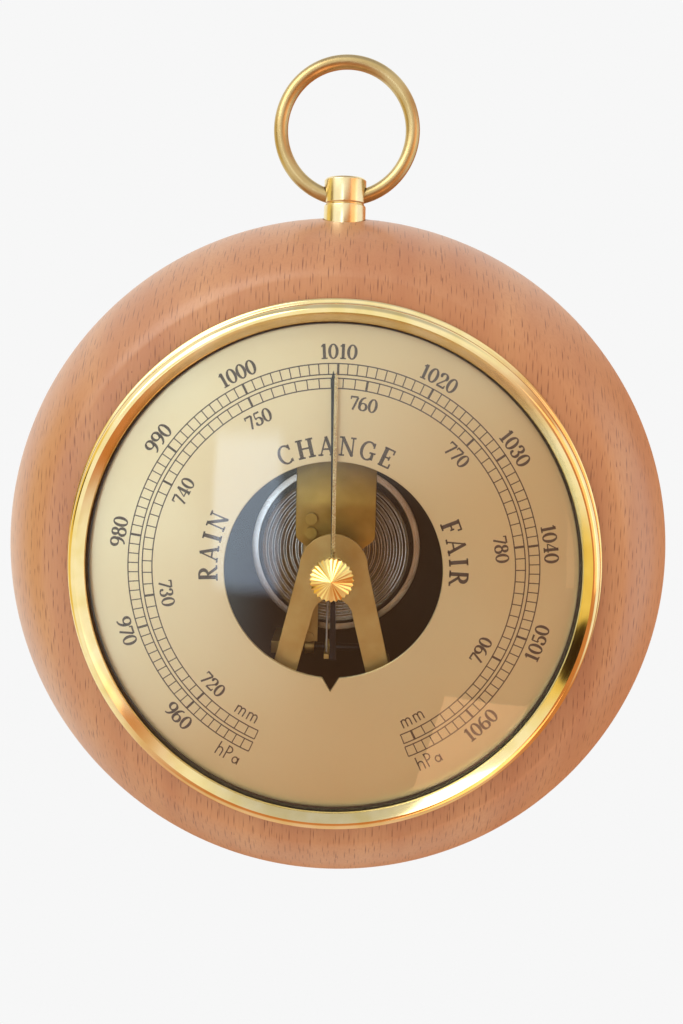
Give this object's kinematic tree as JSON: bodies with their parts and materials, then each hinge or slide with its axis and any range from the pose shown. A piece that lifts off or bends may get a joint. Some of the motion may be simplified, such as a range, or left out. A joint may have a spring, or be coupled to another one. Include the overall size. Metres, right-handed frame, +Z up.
{
  "type": "aneroid barometer",
  "caption": "Round wall barometer: turned wooden case, brass bezel, domed glass, printed dial with an open movement, set hand with knob, and a hanging ring.",
  "frame": {"origin": "centre of the wooden case's flat back face", "axes": "+Y out of the back face into the wall, +Z up to the hanging ring, +X to the right of someone reading the dial, which faces -Y"},
  "size_m": [0.17, 0.0527, 0.2086],
  "materials": {
    "beech": "turned beech under satin clear lacquer",
    "bezel_brass": "spun and polished brass, clear lacquered",
    "ring_brass": "polished brass",
    "knob_brass": "turned and faceted brass",
    "dial_brass": "satin brushed brass, printed in dark brown",
    "bridge_brass": "matt lacquered brass",
    "spring_bronze": "rolled spring bronze",
    "nickel_silver": "bright nickel silver, corrugated",
    "plated_steel": "zinc-plated steel",
    "black_steel": "blackened steel",
    "glass": "clear domed glass",
    "gasket_rubber": "dark brown rubber"
  },
  "bodies": {
    "case": {"wood_case": "beech", "hanger_stud": "ring_brass", "movement_can": "plated_steel", "bezel": "bezel_brass", "glass": "glass", "glass_gasket": "gasket_rubber", "dial": "dial_brass", "base_plate": "plated_steel", "base_screw_1": "plated_steel", "base_screw_2": "plated_steel", "base_screw_3": "plated_steel", "calibration_screw": "plated_steel", "capsule_foot": "plated_steel", "capsule_back": "nickel_silver", "capsule_front": "nickel_silver", "spring_foot": "plated_steel", "spring_screw_1": "plated_steel", "spring_screw_2": "plated_steel", "rocker_bearing_left": "bridge_brass", "rocker_bearing_right": "bridge_brass", "bridge": "bridge_brass", "bridge_pillar_left": "bridge_brass", "bridge_pillar_right": "bridge_brass", "bridge_screw_left": "plated_steel", "bridge_screw_right": "plated_steel", "arbor_bush": "bridge_brass", "hairspring": "spring_bronze", "hairspring_stud": "bridge_brass", "set_bush": "knob_brass", "set_washer": "knob_brass"},
    "ring": {"hanging_ring": "ring_brass"},
    "hand": {"hand_arbor": "black_steel", "pointer": "black_steel"},
    "set_hand": {"set_shaft": "knob_brass", "set_hand": "knob_brass", "set_knob": "knob_brass"},
    "lever": {"mainspring": "spring_bronze", "lever_arm": "bridge_brass", "lever_rivet_1": "bridge_brass", "lever_rivet_2": "bridge_brass", "capsule_post": "nickel_silver"},
    "rocker": {"rocker_shaft": "black_steel", "rocker_crank": "bridge_brass", "rocker_arm": "bridge_brass"},
    "link": {"link_rod": "bridge_brass"},
    "chain": {"chain": "plated_steel"}
  },
  "joints": [
    {"name": "hand_turn", "type": "hinge", "parent": "case", "child": "hand", "pos_m": [0, -0.0391, 0], "axis": [0, 1, 0], "range_deg": [-155.3, 157.9]},
    {"name": "set_hand_turn", "type": "hinge", "parent": "case", "child": "set_hand", "pos_m": [0, -0.0405, 0], "axis": [0, 1, 0], "continuous": true},
    {"name": "ring_swing", "type": "hinge", "parent": "case", "child": "ring", "pos_m": [0, -0.013, 0.0897], "axis": [1, 0, 0], "range_deg": [-100, 100]},
    {"name": "lever_flex", "type": "hinge", "parent": "case", "child": "lever", "pos_m": [0, -0.0174, 0.031], "axis": [1, 0, 0], "range_deg": [-1, 1]},
    {"name": "rocker_turn", "type": "hinge", "parent": "case", "child": "rocker", "pos_m": [0, -0.0205, -0.0225], "axis": [1, 0, 0], "range_deg": [-16, 16]},
    {"name": "link_slide", "type": "slide", "parent": "case", "child": "link", "axis": [0, 1, 0], "range_m": [-0.0009, 0.0009]},
    {"name": "chain_slide", "type": "slide", "parent": "case", "child": "chain", "axis": [0, 0, 1], "range_m": [-0.0026, 0.0026]}
  ],
  "couplings": [
    {"joint": "lever_flex", "follows": "hand_turn", "ratio": 0.006},
    {"joint": "rocker_turn", "follows": "hand_turn", "ratio": -0.09469},
    {"joint": "link_slide", "follows": "hand_turn", "m_per_rad": 0.000303},
    {"joint": "chain_slide", "follows": "hand_turn", "m_per_rad": 0.0008901}
  ]
}
